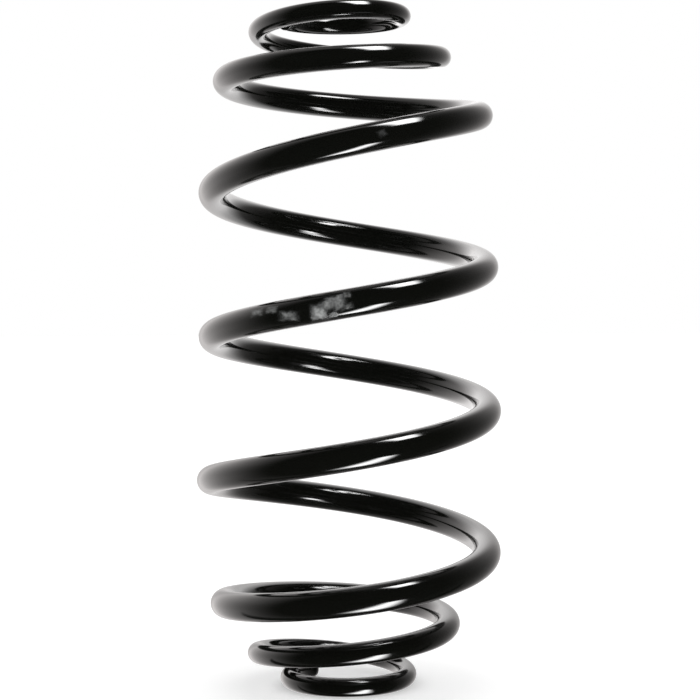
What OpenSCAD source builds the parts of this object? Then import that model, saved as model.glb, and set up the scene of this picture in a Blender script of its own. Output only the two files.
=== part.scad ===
// Barrel-shaped suspension spring: one tapered round bar wound into a
// right-handed coil that narrows at both ends into a small flat end coil.
// The ends nest inside the wide middle coils as the spring closes up.
// Frame: millimetres, +Z up along the spring, z = 0 under the lower end
// coil, Z axis through the middle of the wide coils.

/* [Bar] */
// Thickness of the bar in the wide middle coils
bar_d = 12; // [9:0.5:15]
// Thickness of the bar in the flat end coils
tip_d = 8; // [6:0.5:10]
// Turns from each tip at which the bar starts to thicken
thin_turns = 0.8; // [0.5:0.1:1.3]
// Turns from the lower tip at which the bar reaches its full thickness
low_thick_turns = 2.4; // [1.8:0.1:3]
// Turns from the upper tip at which the bar reaches its full thickness
high_thick_turns = 2.6; // [1.8:0.1:3]
// Rounding of the cut edge at each tip
tip_round = 1.2; // [0.5:0.1:2]

/* [Coil] */
// Free length, from the floor to the top of the upper end coil
free_length = 293; // [250:1:340]
// Turns from tip to tip
turns = 8.1; // [7.4:0.1:9.4]
// Outside diameter of the first wide coil, above the lower cone
low_d = 133; // [115:1:150]
// Outside diameter of the last wide coil, below the upper cone
high_d = 127; // [115:1:150]
// Direction in which the lower tip lies, counted from +X
tip_angle = 122; // [0:1:359]

/* [Ends] */
// Inside diameter of the lower end coil, at its tip
low_seat_d = 35; // [30:1:50]
// Inside diameter of the upper end coil, at its tip
high_seat_d = 41; // [30:1:50]
// Turns of the lower end that lie flat on the seat
low_flat_turns = 0.55; // [0.4:0.05:0.75]
// Turns of the upper end that lie flat on the seat
high_flat_turns = 0.5; // [0.4:0.05:0.75]
// Turns over which a flat end coil bends up into its cone
lift_turns = 0.35; // [0.2:0.05:0.5]
// Rise of each turn in the end cones
cone_pitch = 18; // [16:1:24]
// Height that the lower cone gains besides, just after its flat end
low_step = 6; // [0:0.5:8]
// Height that the upper cone gains besides, just after its flat end
high_step = 4.5; // [0:0.5:8]
// Turns over which a cone gains that height
step_turns = 1.25; // [0.8:0.05:1.5]
// Turns from each tip to the middle of the cone's inner bend
cone_start_turns = 0.25; // [0.1:0.05:0.5]
// Turns from the lower tip to the lower cone's outer bend
low_cone_turns = 2.65; // [2.3:0.05:3]
// Turns from the upper tip to the upper cone's outer bend
high_cone_turns = 2.35; // [2.3:0.05:3]
// Turns that a cone's inner bend takes
inner_bend_turns = 0.8; // [0.4:0.1:1]
// Turns that a cone's outer bend takes
outer_bend_turns = 0.3; // [0.2:0.1:0.8]
// Turns from each tip at which the pitch starts to open
tight_turns = 1.9; // [1.7:0.05:2.3]
// Turns over which the pitch opens
open_turns = 0.9; // [0.4:0.1:1.2]
// Height that the wide coils gain besides, just below the upper cone
shoulder_rise = 5; // [0:0.5:8]
// Turns from the upper tip at which that gain starts
shoulder_turns = 2.45; // [2.2:0.05:2.8]
// Turns over which the wide coils gain that height
shoulder_rise_turns = 0.5; // [0.4:0.1:0.8]
// Distance of both end coils from the spring's axis, towards -X
end_shift = 4.5; // [0:0.5:8]
// Turns over which that distance runs out to nothing
shift_turns = 3.7; // [2.5:0.1:3.7]

/* [Surface] */
// Flats around the bar
bar_sides = 16; // [12:2:18]
// Rings along one turn
rings_per_turn = 36; // [24:2:36]

/* [Hidden] */
black_paint = [0.05, 0.05, 0.055];
half_turns = turns / 2;
low_r = (low_d - bar_d) / 2;
high_r = (high_d - bar_d) / 2;
low_seat_r = (low_seat_d + tip_d) / 2;
high_seat_r = (high_seat_d + tip_d) / 2;
flat_half_angle = 180 / bar_sides;
round_steps = 3;
// A step in turns, short enough to stand for the bar's direction
tangent_turns = 0.001;

// Smooth change from 0 to 1 while t goes from 0 to 1
function smooth(t) = let (u = min(max(t, 0), 1)) u * u * (3 - 2 * u);

// Distance climbed after t turns by a slope that grows from 0 to 1 over w turns
function eased(t, w) =
    t <= 0 ? 0 :
    t >= w ? t - w / 2 :
    w * (pow(t / w, 3) - pow(t / w, 4) / 2);

// Share of the cone passed at t turns from a tip: 0 in the end coil, 1 in the wide coils
function cone_share(t, cone_turns) =
    (eased(t - cone_start_turns + inner_bend_turns / 2, inner_bend_turns)
     - eased(t - cone_turns + outer_bend_turns / 2, outer_bend_turns))
    / (cone_turns - cone_start_turns);

// Turns from the nearer tip, for a point n turns from the lower tip
function from_tip(n) = min(n, turns - n);
function is_low(n) = n < half_turns;

// Thickness of the bar
function bar_at(n) =
    let (thick_turns = is_low(n) ? low_thick_turns : high_thick_turns)
    tip_d + (bar_d - tip_d) * smooth((from_tip(n) - thin_turns) / (thick_turns - thin_turns));

// Radius of the wide coils, which changes evenly between the two cones
function wide_r(n) =
    low_r + (high_r - low_r) * (n - low_cone_turns) / (turns - low_cone_turns - high_cone_turns);

// Radius of the bar's centre line
function coil_r(n) =
    let (
        seat_r = is_low(n) ? low_seat_r : high_seat_r,
        cone_turns = is_low(n) ? low_cone_turns : high_cone_turns
    )
    seat_r + (wide_r(n) - seat_r) * cone_share(from_tip(n), cone_turns);

// Rise of each half from its tip, before the pitch opens, and how far the pitch has opened
function cone_rise(t, flat_turns, step) =
    cone_pitch * eased(t - flat_turns, lift_turns) + step * smooth((t - flat_turns) / step_turns);
function low_rise(t) = cone_rise(t, low_flat_turns, low_step);
function high_rise(t) =
    cone_rise(t, high_flat_turns, high_step)
    + shoulder_rise * smooth((t - shoulder_turns) / shoulder_rise_turns);
function opened(t) = eased(t - tight_turns, open_turns);

// The wide coils' extra pitch is what makes up the free length
open_pitch =
    (free_length - tip_d - low_rise(half_turns) - high_rise(half_turns))
    / (2 * opened(half_turns));

// Height of the bar's centre line
function coil_z(n) =
    is_low(n)
    ? tip_d / 2 + low_rise(n) + open_pitch * opened(n)
    : free_length - tip_d / 2 - high_rise(turns - n) - open_pitch * opened(turns - n);

// Point of the bar's centre line, n turns from the lower tip
function centre(n) =
    let (
        angle = tip_angle + 360 * n,
        shift = end_shift * (1 - smooth(from_tip(n) / shift_turns))
    )
    [coil_r(n) * cos(angle) - shift, coil_r(n) * sin(angle), coil_z(n)];

function unit(v) = v / norm(v);

// Ring of points round the bar, square to it, with a flat on the coil's outer side
function ring(n, inset) =
    let (
        along = unit(centre(n + tangent_turns) - centre(n - tangent_turns)),
        angle = tip_angle + 360 * n,
        radial = [cos(angle), sin(angle), 0],
        outward = unit(radial - (radial * along) * along),
        up = cross(outward, along),
        corner_r = (bar_at(n) / 2 - inset) / cos(flat_half_angle)
    )
    [for (side = [0 : bar_sides - 1])
        let (turned = (2 * side + 1) * flat_half_angle)
        centre(n) + corner_r * (cos(turned) * outward + sin(turned) * up)];

// Rounded tip edge: turns from the tip, and how far the ring is drawn in
function tip_stations(seat_r) =
    [for (step = [0 : round_steps])
        let (angle = 90 * step / round_steps)
        [tip_round * (1 - cos(angle)) / (2 * PI * seat_r), tip_round * (1 - sin(angle))]];

low_tip = tip_stations(low_seat_r);
high_tip = tip_stations(high_seat_r);
ring_count = round(turns * rings_per_turn);
stations = concat(
    low_tip,
    [for (i = [1 : ring_count - 1]) [turns * i / ring_count, 0]],
    [for (step = [round_steps : -1 : 0]) [turns - high_tip[step][0], high_tip[step][1]]]
);

// The bar swept along the coil: rings joined by strips, and closed at both tips
module coil_spring() {
    last = len(stations) - 1;
    points = [for (station = stations) each ring(station[0], station[1])];
    walls = [for (i = [0 : last - 1], side = [0 : bar_sides - 1])
        let (next = (side + 1) % bar_sides, here = i * bar_sides, ahead = here + bar_sides)
        [here + side, here + next, ahead + next, ahead + side]];
    low_cap = [for (side = [bar_sides - 1 : -1 : 0]) side];
    high_cap = [for (side = [0 : bar_sides - 1]) last * bar_sides + side];
    color(black_paint)
        polyhedron(points, concat(walls, [low_cap, high_cap]), convexity = 20);
}

coil_spring();
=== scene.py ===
"""A barrel-shaped suspension spring in black gloss paint, on a pale studio floor.

The bar is one surface of two parameters, the turn along the coil and the angle round the bar. The paint is
procedural. Everything is in metres, +Z up, with z = 0 under the lower end coil.
"""

import math

import bpy
import numpy as np
from bpy.props import FloatProperty, FloatVectorProperty, IntProperty, PointerProperty
from bpy.types import NodeSocket, Operator, Panel, PropertyGroup
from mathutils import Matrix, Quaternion, Vector


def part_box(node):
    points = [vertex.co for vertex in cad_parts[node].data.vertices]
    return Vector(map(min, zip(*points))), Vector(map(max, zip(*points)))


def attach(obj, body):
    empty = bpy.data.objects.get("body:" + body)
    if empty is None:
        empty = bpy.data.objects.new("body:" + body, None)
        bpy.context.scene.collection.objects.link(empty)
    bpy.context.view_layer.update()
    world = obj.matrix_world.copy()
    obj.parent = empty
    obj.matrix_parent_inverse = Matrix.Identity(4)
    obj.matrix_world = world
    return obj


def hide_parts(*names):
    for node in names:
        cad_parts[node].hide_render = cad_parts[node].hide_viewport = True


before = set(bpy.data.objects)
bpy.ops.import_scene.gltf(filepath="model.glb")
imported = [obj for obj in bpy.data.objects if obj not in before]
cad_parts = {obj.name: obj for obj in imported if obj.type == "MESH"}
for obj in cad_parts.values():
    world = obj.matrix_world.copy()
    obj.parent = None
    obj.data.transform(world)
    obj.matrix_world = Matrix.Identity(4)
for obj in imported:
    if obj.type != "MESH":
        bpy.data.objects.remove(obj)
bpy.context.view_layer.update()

bl_info = {
    "name": "Barrel Suspension Spring",
    "version": (1, 0, 0),
    "blender": (4, 5, 0),
    "location": "View3D > Sidebar > Spring",
    "description": "Builds a black painted barrel coil spring and the studio that it stands in",
    "category": "Add Mesh",
}

PATTERN_MAP = "AlongBar"
BAKE_MAP = "OFBake"
NODE_LOW, NODE_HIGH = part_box("coil_spring")

# Rings of the mesh at each cut tip: shares of the flat's radius, and how many go over the rounded edge
TIP_FLAT_RINGS = (0.25, 0.5, 0.75, 0.9)
TIP_EDGE_RINGS = 9

# Dried smears: turn, degrees above the middle of the bar's outer side, length and width in millimetres,
# tilt in degrees, strength
SMEARS = [
    (4.3141, 24, 5.4, 3.2, 2, 0.30),
    (4.3326, 24, 4.6, 3.0, -10, 0.36),
    (4.3504, -14, 7.0, 3.9, -12, 0.50),
    (4.3816, -23, 5.9, 6.4, -8, 0.85),
    (4.3915, 6, 6.6, 4.6, 24, 0.52),
    (4.3996, 21, 7.0, 4.0, 8, 0.50),
    (4.4026, 1, 5.4, 4.2, 16, 0.42),
    (4.3946, -38, 3.8, 3.2, 0, 0.34),
    (4.4116, 37, 3.0, 3.2, 0, 0.24),
    (4.4086, -12, 5.0, 2.6, 10, 0.24),
    (5.4491, 5, 3.4, 3.0, 20, 0.10),
]


class BarSizes(PropertyGroup):
    """The bar that the spring is wound from."""

    full_thickness: FloatProperty(
        name="Full thickness", description="Thickness of the bar in the wide coils",
        default=0.012, min=0.009, max=0.015, subtype="DISTANCE", unit="LENGTH")
    tip_thickness: FloatProperty(
        name="Tip thickness", description="Thickness of the bar in the flat end coils",
        default=0.008, min=0.006, max=0.010, subtype="DISTANCE", unit="LENGTH")
    thin_turns: FloatProperty(
        name="Thin turns", description="Turns from each tip at which the bar starts to thicken",
        default=0.8, min=0.5, max=1.3)
    low_thick_turns: FloatProperty(
        name="Low thick turns",
        description="Turns from the lower tip at which the bar reaches its full thickness",
        default=2.4, min=1.8, max=3.0)
    high_thick_turns: FloatProperty(
        name="High thick turns",
        description="Turns from the upper tip at which the bar reaches its full thickness",
        default=2.6, min=1.8, max=3.0)
    tip_rounding: FloatProperty(
        name="Tip rounding", description="Rounding of the cut edge at each tip",
        default=0.0012, min=0.0005, max=0.002, subtype="DISTANCE", unit="LENGTH")
    rings_per_turn: IntProperty(
        name="Rings per turn", description="Rings of the mesh along one turn",
        default=144, min=36, max=200)
    sides: IntProperty(
        name="Sides", description="Faces of the mesh round the bar", default=44, min=16, max=64)


class CoilSizes(PropertyGroup):
    """The wide coils, and the spring as a whole."""

    free_length: FloatProperty(
        name="Free length", description="From the floor to the top of the upper end coil",
        default=NODE_HIGH.z - NODE_LOW.z, min=0.25, max=0.34, subtype="DISTANCE", unit="LENGTH")
    turns: FloatProperty(
        name="Turns", description="Turns from tip to tip", default=8.1, min=7.4, max=9.4)
    low_diameter: FloatProperty(
        name="Low diameter", description="Outside diameter of the first wide coil, above the lower cone",
        default=0.133, min=0.115, max=0.150, subtype="DISTANCE", unit="LENGTH")
    high_diameter: FloatProperty(
        name="High diameter", description="Outside diameter of the last wide coil, below the upper cone",
        default=0.127, min=0.115, max=0.150, subtype="DISTANCE", unit="LENGTH")
    tip_angle: FloatProperty(
        name="Tip angle", description="Direction in which the lower tip lies, counted from +X",
        default=math.radians(122), min=0, max=math.tau, subtype="ANGLE", unit="ROTATION")


class EndSizes(PropertyGroup):
    """The flat end coils and the cones that lead to them."""

    low_seat_diameter: FloatProperty(
        name="Low seat diameter", description="Inside diameter of the lower end coil, at its tip",
        default=0.035, min=0.030, max=0.050, subtype="DISTANCE", unit="LENGTH")
    high_seat_diameter: FloatProperty(
        name="High seat diameter", description="Inside diameter of the upper end coil, at its tip",
        default=0.041, min=0.030, max=0.050, subtype="DISTANCE", unit="LENGTH")
    low_flat_turns: FloatProperty(
        name="Low flat turns", description="Turns of the lower end that lie flat on the seat",
        default=0.55, min=0.4, max=0.75)
    high_flat_turns: FloatProperty(
        name="High flat turns", description="Turns of the upper end that lie flat on the seat",
        default=0.5, min=0.4, max=0.75)
    lift_turns: FloatProperty(
        name="Lift turns", description="Turns over which a flat end coil bends up into its cone",
        default=0.35, min=0.2, max=0.5)
    cone_pitch: FloatProperty(
        name="Cone pitch", description="Rise of each turn in the end cones",
        default=0.018, min=0.016, max=0.024, subtype="DISTANCE", unit="LENGTH")
    low_step: FloatProperty(
        name="Low step",
        description="Height that the lower cone gains besides, just after its flat end",
        default=0.006, min=0, max=0.008, subtype="DISTANCE", unit="LENGTH")
    high_step: FloatProperty(
        name="High step",
        description="Height that the upper cone gains besides, just after its flat end",
        default=0.0045, min=0, max=0.008, subtype="DISTANCE", unit="LENGTH")
    step_turns: FloatProperty(
        name="Step turns", description="Turns over which a cone gains that height",
        default=1.25, min=0.8, max=1.5)
    cone_start_turns: FloatProperty(
        name="Cone start", description="Turns from each tip to the middle of the cone's inner bend",
        default=0.25, min=0.1, max=0.5)
    low_cone_turns: FloatProperty(
        name="Low cone", description="Turns from the lower tip to the lower cone's outer bend",
        default=2.65, min=2.3, max=3.0)
    high_cone_turns: FloatProperty(
        name="High cone", description="Turns from the upper tip to the upper cone's outer bend",
        default=2.35, min=2.3, max=3.0)
    inner_bend_turns: FloatProperty(
        name="Inner bend", description="Turns that a cone's inner bend takes",
        default=0.8, min=0.4, max=1.0)
    outer_bend_turns: FloatProperty(
        name="Outer bend", description="Turns that a cone's outer bend takes",
        default=0.3, min=0.2, max=0.8)
    tight_turns: FloatProperty(
        name="Tight turns", description="Turns from each tip at which the pitch starts to open",
        default=1.9, min=1.7, max=2.3)
    open_turns: FloatProperty(
        name="Opening", description="Turns over which the pitch opens", default=0.9, min=0.4, max=1.2)
    shoulder_rise: FloatProperty(
        name="Shoulder rise",
        description="Height that the wide coils gain besides, just below the upper cone",
        default=0.005, min=0, max=0.008, subtype="DISTANCE", unit="LENGTH")
    shoulder_turns: FloatProperty(
        name="Shoulder turns", description="Turns from the upper tip at which that gain starts",
        default=2.45, min=2.2, max=2.8)
    shoulder_rise_turns: FloatProperty(
        name="Shoulder rise turns", description="Turns over which the wide coils gain that height",
        default=0.5, min=0.4, max=0.8)
    shift: FloatProperty(
        name="Shift", description="Distance of both end coils from the spring's axis, towards -X",
        default=0.0045, min=0, max=0.008, subtype="DISTANCE", unit="LENGTH")
    shift_turns: FloatProperty(
        name="Shift turns", description="Turns over which that distance runs out to nothing",
        default=3.7, min=2.5, max=3.7)


class PaintLook(PropertyGroup):
    """The black gloss paint and what has dried on it."""

    paint_colour: FloatVectorProperty(
        name="Paint", description="Colour of the paint", subtype="COLOR", size=3,
        default=(0.0034, 0.0036, 0.0029), min=0, max=1)
    residue_colour: FloatVectorProperty(
        name="Residue", description="Colour of the dried smears on the paint", subtype="COLOR", size=3,
        default=(0.38, 0.39, 0.385), min=0, max=1)
    paint_roughness: FloatProperty(
        name="Paint roughness", description="Roughness of the gloss paint",
        default=0.07, min=0, max=1, subtype="FACTOR")
    residue_roughness: FloatProperty(
        name="Residue roughness", description="Roughness of the dried smears",
        default=0.55, min=0, max=1, subtype="FACTOR")
    paint_index: FloatProperty(
        name="Paint index", description="Index of refraction of the paint",
        default=1.52, min=1.3, max=1.8)
    peel_height: FloatProperty(
        name="Orange peel", description="Height of the paint's fine orange peel",
        default=4e-6, min=0, max=1e-4, subtype="DISTANCE", unit="LENGTH")
    flow_height: FloatProperty(
        name="Flow", description="Height of the slow waves in the paint",
        default=1e-5, min=0, max=1e-3, subtype="DISTANCE", unit="LENGTH")
    crust_height: FloatProperty(
        name="Crust", description="Height of the dried smears where they are thickest",
        default=6e-5, min=0, max=1e-3, subtype="DISTANCE", unit="LENGTH")


class StudioLook(PropertyGroup):
    """The floor, the lights and the camera."""

    floor_colour: FloatVectorProperty(
        name="Floor", description="Colour of the floor", subtype="COLOR", size=3,
        default=(0.8, 0.8, 0.8), min=0, max=1)
    floor_radius: FloatProperty(
        name="Floor radius", description="Radius of the round floor",
        default=6.0, min=1, max=20, subtype="DISTANCE", unit="LENGTH")
    floor_glow: FloatProperty(
        name="Floor glow", description="Light of its own that the floor shows to the camera",
        default=0.4, min=0, max=1)
    room_brightness: FloatProperty(
        name="Room", description="Brightness of the room's glow where it is strongest",
        default=3.25, min=0, max=10)
    room_colour: FloatVectorProperty(
        name="Room colour", description="Colour of the room's glow", subtype="COLOR", size=3,
        default=(1.0, 0.96, 0.95), min=0, max=1)
    top_brightness: FloatProperty(
        name="Top light", description="Brightness of the panel above the spring",
        default=24.0, min=0, max=60)
    low_brightness: FloatProperty(
        name="Low light", description="Brightness of the panel below the floor",
        default=24.0, min=0, max=60)
    back_brightness: FloatProperty(
        name="Back light", description="Brightness of the panel close behind the spring",
        default=1.45, min=0, max=10)
    lens: FloatProperty(
        name="Lens", description="Focal length on a sensor 36 mm wide", default=97.83, min=20, max=300)
    camera_distance: FloatProperty(
        name="Camera distance", description="From the camera to the point that it is aimed at",
        default=0.8235, min=0.3, max=5, subtype="DISTANCE", unit="LENGTH")
    camera_drop: FloatProperty(
        name="Camera drop", description="Angle by which the camera looks down",
        default=math.radians(1.90), min=-1, max=1, subtype="ANGLE", unit="ROTATION")
    camera_roll: FloatProperty(
        name="Camera roll", description="Angle by which the camera leans to the right",
        default=math.radians(0.31), min=-1, max=1, subtype="ANGLE", unit="ROTATION")
    aim_height: FloatProperty(
        name="Aim height", description="Height of the point that the camera is aimed at",
        default=0.1458, min=0, max=1, subtype="DISTANCE", unit="LENGTH")
    aim_side: FloatProperty(
        name="Aim side", description="Distance of that point from the spring's axis, towards +X",
        default=0.00033, min=-0.1, max=0.1, subtype="DISTANCE", unit="LENGTH")


def smooth(t):
    """Smooth change from 0 to 1 while t goes from 0 to 1: 3 t squared less 2 t cubed."""
    u = np.clip(t, 0, 1)
    return u * u * (3 - 2 * u)


def eased(t, width):
    """Distance climbed after t turns by a slope that grows smoothly from 0 to 1 over width turns."""
    u = np.clip(t / width, 0, 1)
    return np.where(t >= width, t - width / 2, width * (u**3 - u**4 / 2))


def bar_thickness(turn, bar, coil):
    """Thickness of the bar, which grows smoothly from each tip."""
    from_tip = np.minimum(turn, coil.turns - turn)
    thick_turns = np.where(turn < coil.turns / 2, bar.low_thick_turns, bar.high_thick_turns)
    share = smooth((from_tip - bar.thin_turns) / (thick_turns - bar.thin_turns))
    return bar.tip_thickness + (bar.full_thickness - bar.tip_thickness) * share


def coil_radius(turn, bar, coil, ends):
    """Radius of the centre line: the end coil's, plus a straight cone with both its bends eased."""
    low = turn < coil.turns / 2
    from_tip = np.minimum(turn, coil.turns - turn)
    seat = (np.where(low, ends.low_seat_diameter, ends.high_seat_diameter) + bar.tip_thickness) / 2
    cone_turns = np.where(low, ends.low_cone_turns, ends.high_cone_turns)
    climbed = (eased(from_tip - ends.cone_start_turns + ends.inner_bend_turns / 2, ends.inner_bend_turns)
               - eased(from_tip - cone_turns + ends.outer_bend_turns / 2, ends.outer_bend_turns))
    along_wide = (turn - ends.low_cone_turns) / (coil.turns - ends.low_cone_turns - ends.high_cone_turns)
    wide_diameter = coil.low_diameter + (coil.high_diameter - coil.low_diameter) * along_wide
    wide = (wide_diameter - bar.full_thickness) / 2
    return seat + (wide - seat) * climbed / (cone_turns - ends.cone_start_turns)


def coil_height(turn, bar, coil, ends):
    """Height of the centre line: flat, then the cone's pitch, then the open pitch that fills the length."""
    def cone_rise(t, flat_turns, step):
        past_flat = t - flat_turns
        lifted = ends.cone_pitch * eased(past_flat, ends.lift_turns)
        return lifted + step * smooth(past_flat / ends.step_turns)

    def low_rise(t):
        return cone_rise(t, ends.low_flat_turns, ends.low_step)

    def high_rise(t):
        shoulder = ends.shoulder_rise * smooth((t - ends.shoulder_turns) / ends.shoulder_rise_turns)
        return cone_rise(t, ends.high_flat_turns, ends.high_step) + shoulder

    def opened(t):
        return eased(t - ends.tight_turns, ends.open_turns)

    half = coil.turns / 2
    left_over = coil.free_length - bar.tip_thickness - low_rise(half) - high_rise(half)
    open_pitch = left_over / (2 * opened(half))
    down = coil.turns - turn
    low_half = bar.tip_thickness / 2 + low_rise(turn) + open_pitch * opened(turn)
    high_half = coil.free_length - bar.tip_thickness / 2 - high_rise(down) - open_pitch * opened(down)
    return np.where(turn < half, low_half, high_half)


def centre_line(turn, bar, coil, ends):
    """Points of the bar's centre line: a helix about an axis that moves sideways near both ends."""
    angle = coil.tip_angle + math.tau * turn
    radius = coil_radius(turn, bar, coil, ends)
    from_tip = np.minimum(turn, coil.turns - turn)
    shift = ends.shift * (1 - smooth(from_tip / ends.shift_turns))
    height = coil_height(turn, bar, coil, ends)
    return np.stack([radius * np.cos(angle) - shift, radius * np.sin(angle), height], axis=-1)


def unit(v):
    """Vectors along the last axis, each made one long."""
    return v / np.linalg.norm(v, axis=-1, keepdims=True)


def tip_rings(radius, rounding, seat_radius):
    """Cut tip: turns from the tip and radius of each ring, from the middle of the flat over its edge.

    The flat is rings of growing radius, and the edge is a quarter of a circle."""
    flat = (radius - rounding) * np.array(TIP_FLAT_RINGS)
    turned = np.linspace(0, math.pi / 2, TIP_EDGE_RINGS)
    depth = np.concatenate([np.zeros(len(flat)), rounding * (1 - np.cos(turned))])
    ring_radius = np.concatenate([flat, radius - rounding * (1 - np.sin(turned))])
    return depth / (math.tau * seat_radius), ring_radius


def bar_surface(bar, coil, ends):
    """Rings of points round the bar, (rings, sides, 3), with the centre and radius of each ring.

    A point is the centre plus the ring's radius times (cos a outward + sin a up), where outward is the
    direction away from the spring's axis, square to the bar, and up is square to both."""
    tip_radius = bar.tip_thickness / 2
    low = tip_rings(tip_radius, bar.tip_rounding, (ends.low_seat_diameter + bar.tip_thickness) / 2)
    high = tip_rings(tip_radius, bar.tip_rounding, (ends.high_seat_diameter + bar.tip_thickness) / 2)
    count = round(coil.turns * bar.rings_per_turn)
    middle = coil.turns * np.arange(1, count) / count
    turn = np.concatenate([low[0], middle, coil.turns - high[0][::-1]])
    radius = np.concatenate([low[1], bar_thickness(middle, bar, coil) / 2, high[1][::-1]])
    centre = centre_line(turn, bar, coil, ends)
    tangent_turns = 1e-4
    ahead = centre_line(turn + tangent_turns, bar, coil, ends)
    behind = centre_line(turn - tangent_turns, bar, coil, ends)
    along = unit(ahead - behind)
    angle = coil.tip_angle + math.tau * turn
    radial = np.stack([np.cos(angle), np.sin(angle), np.zeros_like(angle)], axis=-1)
    outward = unit(radial - (radial * along).sum(-1, keepdims=True) * along)
    up = np.cross(outward, along)
    around = math.tau * np.arange(bar.sides) / bar.sides - math.pi
    ring = np.cos(around)[None, :, None] * outward[:, None] + np.sin(around)[None, :, None] * up[:, None]
    return centre[:, None] + radius[:, None, None] * ring, centre, radius


def bar_faces(count, sides):
    """Walls between the rings, (faces, 4), and a fan over each tip, (sides, 3), as numbers of points.

    Ring r's point s is number r times sides + s. The lower and the upper tip's poles come last."""
    side = np.arange(sides)
    after = (side + 1) % sides
    start = sides * np.arange(count - 1)[:, None]
    corners = [start + side, start + sides + side, start + sides + after, start + after]
    walls = np.stack(corners, axis=-1).reshape(-1, 4)
    last = (count - 1) * sides
    low_pole = count * sides
    high_pole = low_pole + 1
    low_fan = np.stack([np.full(sides, low_pole), side, after], axis=-1)
    high_fan = np.stack([np.full(sides, high_pole), last + after, last + side], axis=-1)
    return walls, low_fan, high_fan


def bar_corners(count, sides):
    """For each corner of each face: the ring that its face starts from, its own ring, and its own side.

    The poles count as the rings before the first and after the last. The sides aren't wrapped, so a face on
    the seam isn't stretched across the map."""
    ring, side = np.meshgrid(np.arange(count - 1), np.arange(sides), indexing="ij")
    ring, side = ring.ravel(), side.ravel()
    tip_side = np.arange(sides)
    face_ring = np.concatenate([np.repeat(ring, 4), np.full(3 * sides, -1), np.full(3 * sides, count - 1)])
    corner_ring = np.concatenate([
        np.stack([ring, ring + 1, ring + 1, ring], axis=-1).ravel(),
        np.tile([-1, 0, 0], sides),
        np.tile([count, count - 1, count - 1], sides)])
    corner_side = np.concatenate([
        np.stack([side, side, side + 1, side + 1], axis=-1).ravel(),
        np.stack([tip_side + 0.5, tip_side, tip_side + 1], axis=-1).ravel(),
        np.stack([tip_side + 0.5, tip_side + 1, tip_side], axis=-1).ravel()])
    return face_ring, corner_ring, corner_side


def bar_mesh(name, bar, coil, ends):
    """The bar as one closed mesh: quads between neighbouring rings, and a fan to a pole at each tip.

    The pattern map is in metres: along the centre line, and round from the middle of the outer side."""
    rings, centre, radius = bar_surface(bar, coil, ends)
    count, sides = rings.shape[:2]
    points = np.concatenate([rings.reshape(-1, 3), centre[[0, -1]]])
    walls, low_fan, high_fan = bar_faces(count, sides)
    mesh = bpy.data.meshes.new(name)
    mesh.from_pydata(points.tolist(), [], walls.tolist() + low_fan.tolist() + high_fan.tolist())
    mesh.polygons.foreach_set("use_smooth", np.ones(len(mesh.polygons), bool))
    face_ring, corner_ring, corner_side = bar_corners(count, sides)
    travelled = np.concatenate([[0], np.cumsum(np.linalg.norm(np.diff(centre, axis=0), axis=-1))])
    ring_at = np.clip(corner_ring, 0, count - 1).astype(int)
    around = math.tau * corner_side / sides - math.pi
    write_map(mesh, PATTERN_MAP, np.stack([travelled[ring_at], around * radius[ring_at]], axis=-1))
    write_map(mesh, BAKE_MAP, folded_strip(face_ring, corner_ring, corner_side / sides, count))
    mesh.update()
    mesh.validate()
    return mesh


def folded_strip(face_ring, corner_ring, share_round, count):
    """Places on a square for the unrolled bar, cut into equal rows that lie one above another."""
    rows = 8
    margin = 0.03
    per_row = math.ceil((count + 1) / rows)
    row = np.floor((face_ring + 1) / per_row)
    along = (corner_ring + 1 - row * per_row) / per_row
    upward = (row + margin + (1 - 2 * margin) * share_round) / rows
    return np.stack([margin / rows + (1 - 2 * margin / rows) * along, upward], axis=-1)


def write_map(mesh, name, places):
    """Adds a UV map with one place for each corner of each face."""
    layer = mesh.uv_layers.new(name=name, do_init=False)
    layer.uv.foreach_set("vector", places.astype(np.float32).ravel())


def metres_to_turn(turn, bar, coil, ends):
    """Length of the centre line from the lower tip to a turn."""
    samples = 4001
    points = centre_line(np.linspace(0, turn, samples), bar, coil, ends)
    return float(np.linalg.norm(np.diff(points, axis=0), axis=-1).sum())


def empty_tree(owner):
    """Node tree of a material or world, switched on and emptied."""
    owner.use_nodes = True
    owner.node_tree.nodes.clear()
    return owner.node_tree


def add_node(tree, kind, inputs=None, **settings):
    """Adds a node, sets its options, and sets or links its inputs, each given by name or number."""
    node = tree.nodes.new(kind)
    for name, value in settings.items():
        setattr(node, name, value)
    for name, value in (inputs or {}).items():
        if isinstance(value, NodeSocket):
            tree.links.new(value, node.inputs[name])
        else:
            node.inputs[name].default_value = value
    return node


def calculate(tree, operation, first, second=0.0, third=0.0):
    """Output of a Math node."""
    inputs = {0: first, 1: second, 2: third}
    return add_node(tree, "ShaderNodeMath", inputs, operation=operation).outputs[0]


def ramp(tree, value, low, high, start=0.0, end=1.0):
    """Output that goes smoothly from start to end while value goes from low to high."""
    inputs = {"Value": value, "From Min": low, "From Max": high, "To Min": start, "To Max": end}
    node = add_node(tree, "ShaderNodeMapRange", inputs, interpolation_type="SMOOTHSTEP")
    return node.outputs["Result"]


def vector_math(tree, operation, *vectors):
    """Output of a Vector Math node."""
    inputs = dict(enumerate(vectors))
    return add_node(tree, "ShaderNodeVectorMath", inputs, operation=operation).outputs["Vector"]


def noise(tree, vector, scale, detail=2.0, roughness=0.5, output="Fac"):
    """A noise pattern, about 0 to 1. The scale is in waves per metre."""
    inputs = {"Vector": vector, "Scale": scale, "Detail": detail, "Roughness": roughness}
    return add_node(tree, "ShaderNodeTexNoise", inputs).outputs[output]


def bump(tree, pattern, height, below=None, strength=1.0):
    """Normal of a surface that a pattern raises by height at most, over a surface with the normal below."""
    inputs = {"Strength": strength, "Distance": height, "Height": pattern}
    if below is not None:
        inputs["Normal"] = below
    return add_node(tree, "ShaderNodeBump", inputs).outputs["Normal"]


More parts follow.
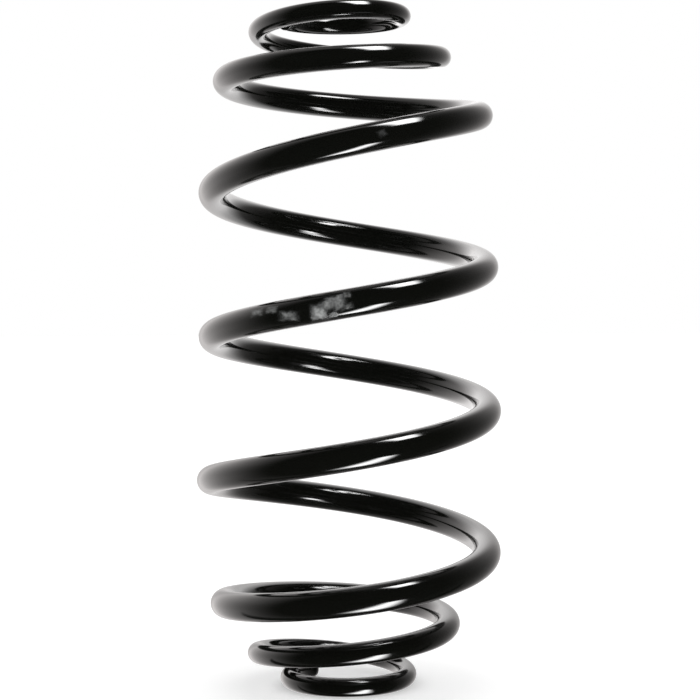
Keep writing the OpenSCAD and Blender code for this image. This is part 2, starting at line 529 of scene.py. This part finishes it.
def mixed_value(tree, share, first, second):
    """Number between first and second."""
    inputs = {"Factor": share, 2: first, 3: second}
    return add_node(tree, "ShaderNodeMix", inputs, data_type="FLOAT").outputs[0]


def mixed_colour(tree, share, first, second):
    """Colour between first and second."""
    node = add_node(tree, "ShaderNodeMix", {"Factor": share}, data_type="RGBA")
    for socket, colour in zip((node.inputs[6], node.inputs[7]), (first, second)):
        if isinstance(colour, NodeSocket):
            tree.links.new(colour, socket)
        else:
            socket.default_value = (*colour, 1)
    return node.outputs[2]


def smear(tree, place, middle, size, tilt, strength):
    """Mask of one smear, a tilted box on the unrolled bar, in metres. It thins out towards its edges."""
    length, width = size
    inputs = {
        "Vector": place,
        "Location": (*middle, 0),
        "Rotation": (0, 0, tilt),
        "Scale": (length / 2, width / 2, 1),
    }
    local = add_node(tree, "ShaderNodeMapping", inputs, vector_type="TEXTURE").outputs["Vector"]
    from_middle = vector_math(tree, "ABSOLUTE", local)
    parts = add_node(tree, "ShaderNodeSeparateXYZ", {"Vector": from_middle}).outputs
    share_out = calculate(tree, "MAXIMUM", parts["X"], parts["Y"])
    inside = ramp(tree, share_out, low=1.5, high=0.3)
    thinned = calculate(tree, "POWER", inside, 1.8)
    return calculate(tree, "MULTIPLY", thinned, strength)


def residue_mask(tree, place, bar, coil, ends):
    """Mask of the dried smears. Fine noise makes their edges ragged, and flecks and patches thin them."""
    ragged = noise(tree, place, scale=500.0, detail=5.0, roughness=0.7, output="Color")
    centred = vector_math(tree, "SUBTRACT", ragged, (0.5, 0.5, 0.5))
    push = (0.0024, 0.0018, 0)
    pushed = vector_math(tree, "MULTIPLY_ADD", centred, push, place)
    radius = bar.full_thickness / 2
    mask = 0.0
    for turn, above, length, width, tilt, strength in SMEARS:
        middle = (metres_to_turn(turn, bar, coil, ends), math.radians(above) * radius)
        size = (length / 1000, width / 1000)
        shape = smear(tree, pushed, middle, size, math.radians(tilt), strength)
        mask = calculate(tree, "MAXIMUM", shape, mask)
    fine = noise(tree, place, scale=900.0, detail=4.0, roughness=0.65)
    coarse = noise(tree, place, scale=270.0, detail=2.0, roughness=0.6)
    flecks = ramp(tree, fine, low=0.30, high=0.62, start=0.55, end=1.1)
    patches = ramp(tree, coarse, low=0.36, high=0.60, start=0.5, end=1.2)
    return calculate(tree, "MULTIPLY", calculate(tree, "MULTIPLY", mask, flecks), patches)


def black_gloss_paint(look, bar, coil, ends):
    """Black gloss paint: fine orange peel over slow waves, a trace of dust, and dried smears."""
    material = bpy.data.materials.new("black_gloss_paint")
    tree = empty_tree(material)
    place = add_node(tree, "ShaderNodeTexCoord").outputs["Object"]
    unrolled = add_node(tree, "ShaderNodeUVMap", uv_map=PATTERN_MAP).outputs["UV"]
    residue = residue_mask(tree, unrolled, bar, coil, ends)
    specks = noise(tree, place, scale=1800.0, detail=3.0, roughness=0.7)
    clouds = noise(tree, place, scale=35.0, detail=3.0)
    dust = ramp(tree, specks, low=0.66, high=0.80, end=0.035)
    haze = ramp(tree, clouds, low=0.35, high=0.75, end=0.05)
    covered = ramp(tree, residue, low=0.0, high=0.25)
    dusty = mixed_colour(tree, dust, look.paint_colour, look.residue_colour)
    colour = mixed_colour(tree, residue, dusty, look.residue_colour)
    paint_roughness = calculate(tree, "ADD", haze, look.paint_roughness)
    roughness = mixed_value(tree, covered, paint_roughness, look.residue_roughness)
    flow = bump(tree, noise(tree, place, scale=55.0), look.flow_height)
    peel = bump(tree, noise(tree, place, scale=650.0), look.peel_height, below=flow)
    crust = bump(tree, residue, look.crust_height, below=peel, strength=0.6)
    inputs = {"Base Color": colour, "Roughness": roughness, "IOR": look.paint_index, "Normal": crust}
    shader = add_node(tree, "ShaderNodeBsdfPrincipled", inputs)
    add_node(tree, "ShaderNodeOutputMaterial", {"Surface": shader.outputs["BSDF"]})
    return material


class SPRING_OT_coil(Operator):
    """Winds the tapered bar into the spring and paints it"""

    bl_idname = "spring.coil"
    bl_label = "Coil spring"

    def execute(self, context):
        scene = context.scene
        bar, coil, ends = scene.spring_bar, scene.spring_coil, scene.spring_ends
        mesh = bar_mesh("painted_coil", bar, coil, ends)
        mesh.materials.append(black_gloss_paint(scene.spring_paint, bar, coil, ends))
        piece = bpy.data.objects.new("painted_coil", mesh)
        scene.collection.objects.link(piece)
        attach(piece, "root")
        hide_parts("coil_spring")
        return {"FINISHED"}


def floor_finish(studio):
    """Pale matt floor. Its own light makes it white to the camera, except in the spring's shadow."""
    material = bpy.data.materials.new("pale_floor")
    tree = empty_tree(material)
    camera_ray = add_node(tree, "ShaderNodeLightPath").outputs["Is Camera Ray"]
    glow = calculate(tree, "MULTIPLY", camera_ray, studio.floor_glow)
    matt = add_node(tree, "ShaderNodeBsdfDiffuse", {"Color": (*studio.floor_colour, 1)})
    light = add_node(tree, "ShaderNodeEmission", {"Color": (1, 1, 1, 1), "Strength": glow})
    both = add_node(tree, "ShaderNodeAddShader", {0: matt.outputs["BSDF"], 1: light.outputs["Emission"]})
    add_node(tree, "ShaderNodeOutputMaterial", {"Surface": both.outputs["Shader"]})
    return material


def make_floor(studio):
    """Round floor at z = 0. Light from below passes through it, and the paint doesn't reflect it."""
    sides = 64
    around = math.tau * np.arange(sides) / sides
    rim = np.stack([np.cos(around), np.sin(around), np.zeros(sides)], axis=-1) * studio.floor_radius
    mesh = bpy.data.meshes.new("floor")
    mesh.from_pydata(rim.tolist(), [], [list(range(sides))])
    mesh.materials.append(floor_finish(studio))
    floor = bpy.data.objects.new("floor", mesh)
    bpy.context.scene.collection.objects.link(floor)
    floor.visible_glossy = False
    floor.visible_shadow = False


def studio_air(studio):
    """White to the camera, and an even light for matt surfaces. Gloss sees a dark room with a broad glow.

    The glow's strength is a product of smooth steps in the direction that is seen: two in its azimuth,
    counted from straight back towards +X, one round straight back, and two in its height."""
    world = bpy.data.worlds.new("studio_air")
    tree = empty_tree(world)
    direction = add_node(tree, "ShaderNodeTexCoord").outputs["Generated"]
    parts = add_node(tree, "ShaderNodeSeparateXYZ", {"Vector": direction}).outputs
    path = add_node(tree, "ShaderNodeLightPath").outputs
    azimuth = calculate(tree, "ARCTAN2", parts["X"], parts["Y"])
    from_left = ramp(tree, azimuth, low=math.radians(-122), high=math.radians(-23))
    to_right = ramp(tree, azimuth, low=math.radians(-153), high=math.radians(112), start=1.0, end=0.0)
    straight_back = ramp(tree, parts["Y"], low=0.87, high=0.99, start=1.0, end=0.45)
    from_below = ramp(tree, parts["Z"], low=-1.06, high=-0.255, start=0.077, end=1.0)
    to_above = ramp(tree, parts["Z"], low=0.42, high=0.92, start=1.0, end=0.31)
    room = studio.room_brightness
    for share in (from_left, to_right, straight_back, from_below, to_above):
        room = calculate(tree, "MULTIPLY", room, share)
    gloss_ray = calculate(tree, "MAXIMUM", path["Is Glossy Ray"], path["Is Transmission Ray"])
    unseen = mixed_value(tree, gloss_ray, 1.0, room)
    strength = mixed_value(tree, path["Is Camera Ray"], unseen, 1.0)
    colour = mixed_colour(tree, gloss_ray, (1.0, 1.0, 1.0), studio.room_colour)
    background = add_node(tree, "ShaderNodeBackground", {"Color": colour, "Strength": strength})
    add_node(tree, "ShaderNodeOutputWorld", {"Surface": background.outputs["Background"]})
    return world


def hidden_sheet(name, place, turned, width, depth, material):
    """Flat sheet that only gloss sees. It is level before it is turned about X, Y and Z, in radians."""
    x, y = width / 2, depth / 2
    mesh = bpy.data.meshes.new(name)
    mesh.from_pydata([(-x, -y, 0), (x, -y, 0), (x, y, 0), (-x, y, 0)], [], [(0, 1, 2, 3)])
    mesh.materials.append(material)
    sheet = bpy.data.objects.new(name, mesh)
    sheet.location = place
    sheet.rotation_euler = turned
    sheet.visible_camera = False
    sheet.visible_diffuse = False
    sheet.visible_shadow = False
    bpy.context.scene.collection.objects.link(sheet)


def sheet_share(tree, width, depth, side_fade, end_fade):
    """Output that is 1 in the middle of a sheet and goes smoothly to 0 over its edges."""
    from_middle = vector_math(tree, "ABSOLUTE", add_node(tree, "ShaderNodeTexCoord").outputs["Object"])
    parts = add_node(tree, "ShaderNodeSeparateXYZ", {"Vector": from_middle}).outputs
    across = ramp(tree, parts["X"], low=(width + side_fade) / 2, high=(width - side_fade) / 2)
    along = ramp(tree, parts["Y"], low=(depth + end_fade) / 2, high=(depth - end_fade) / 2)
    return calculate(tree, "MULTIPLY", across, along)


def soft_panel(name, place, turned, width, depth, fade, brightness):
    """Glowing panel that fades out smoothly over its edges. Its light adds to what lies behind it."""
    material = bpy.data.materials.new(name)
    tree = empty_tree(material)
    glow = calculate(tree, "MULTIPLY", sheet_share(tree, width, depth, fade, fade), brightness)
    light = add_node(tree, "ShaderNodeEmission", {"Color": (1, 1, 1, 1), "Strength": glow})
    clear = add_node(tree, "ShaderNodeBsdfTransparent")
    both = add_node(tree, "ShaderNodeAddShader", {0: light.outputs["Emission"], 1: clear.outputs["BSDF"]})
    add_node(tree, "ShaderNodeOutputMaterial", {"Surface": both.outputs["Shader"]})
    hidden_sheet(name, place, turned, width + fade, depth + fade, material)


def black_card(name, place, turned, width, depth, side_fade, end_fade):
    """Black card that keeps a panel's light off the part of the spring behind it."""
    material = bpy.data.materials.new(name)
    tree = empty_tree(material)
    share = sheet_share(tree, width, depth, side_fade, end_fade)
    clear = add_node(tree, "ShaderNodeBsdfTransparent").outputs["BSDF"]
    matt = add_node(tree, "ShaderNodeBsdfDiffuse", {"Color": (0, 0, 0, 1)}).outputs["BSDF"]
    surface = add_node(tree, "ShaderNodeMixShader", {0: share, 1: clear, 2: matt}).outputs["Shader"]
    add_node(tree, "ShaderNodeOutputMaterial", {"Surface": surface})
    hidden_sheet(name, place, turned, width + side_fade, depth + end_fade, material)


def make_camera(studio):
    """Camera on the front side, above the middle of the spring, looking down and leaning right a little."""
    data = bpy.data.cameras.new("camera")
    data.sensor_width = 36
    data.lens = studio.lens
    data.clip_start = 0.05
    data.clip_end = 50
    camera = bpy.data.objects.new("camera", data)
    back = Vector((0, -math.cos(studio.camera_drop), math.sin(studio.camera_drop)))
    camera.location = Vector((studio.aim_side, 0, studio.aim_height)) + back * studio.camera_distance
    camera.rotation_mode = "QUATERNION"
    level = (-back).to_track_quat("-Z", "Y")
    camera.rotation_quaternion = level @ Quaternion((0, 0, 1), -studio.camera_roll)
    bpy.context.scene.collection.objects.link(camera)
    bpy.context.scene.camera = camera


class SPRING_OT_studio(Operator):
    """Sets up the floor, the lights, the background and the camera"""

    bl_idname = "spring.studio"
    bl_label = "Studio"

    def execute(self, context):
        scene = context.scene
        studio = scene.spring_studio
        free_length = scene.spring_coil.free_length
        upright = (math.pi / 2, 0, 0)
        make_floor(studio)
        soft_panel(
            "top_panel", place=(0.158, -0.115, free_length + 0.327), turned=(0, 0, math.radians(38)),
            width=0.133, depth=0.295, fade=0.059, brightness=studio.top_brightness)
        soft_panel(
            "low_panel", place=(0.173, -0.248, -0.248), turned=(0, 0, math.radians(36)),
            width=0.105, depth=0.405, fade=0.093, brightness=studio.low_brightness)
        soft_panel(
            "back_panel", place=(0.0097, 0.151, free_length / 2 + 0.0485), turned=upright,
            width=0.123, depth=0.303, fade=0.192, brightness=studio.back_brightness)
        black_card(
            "low_card", place=(0.08, -0.018, -0.130), turned=upright,
            width=0.44, depth=0.242, side_fade=0.13, end_fade=0.012)
        make_camera(studio)
        scene.world = studio_air(studio)
        scene.view_settings.view_transform = "Standard"
        return {"FINISHED"}


class SPRING_PT_sidebar(Panel):
    """Sizes, looks and buttons of the spring"""

    bl_idname = "SPRING_PT_sidebar"
    bl_label = "Barrel suspension spring"
    bl_space_type = "VIEW_3D"
    bl_region_type = "UI"
    bl_category = "Spring"

    def draw(self, context):
        for name, group in SCENE_GROUPS.items():
            box = self.layout.box()
            box.label(text=group.__doc__)
            for setting in group.__annotations__:
                box.prop(getattr(context.scene, name), setting)
        self.layout.operator(SPRING_OT_coil.bl_idname)
        self.layout.operator(SPRING_OT_studio.bl_idname)


SCENE_GROUPS = {
    "spring_bar": BarSizes,
    "spring_coil": CoilSizes,
    "spring_ends": EndSizes,
    "spring_paint": PaintLook,
    "spring_studio": StudioLook,
}
CLASSES = (*SCENE_GROUPS.values(), SPRING_OT_coil, SPRING_OT_studio, SPRING_PT_sidebar)


def register():
    for cls in CLASSES:
        bpy.utils.register_class(cls)
    for name, group in SCENE_GROUPS.items():
        setattr(bpy.types.Scene, name, PointerProperty(type=group))


def unregister():
    for name in SCENE_GROUPS:
        delattr(bpy.types.Scene, name)
    for cls in reversed(CLASSES):
        bpy.utils.unregister_class(cls)


def main():
    register()
    bpy.ops.spring.coil()
    bpy.ops.spring.studio()


if __name__ == "__main__":
    main()
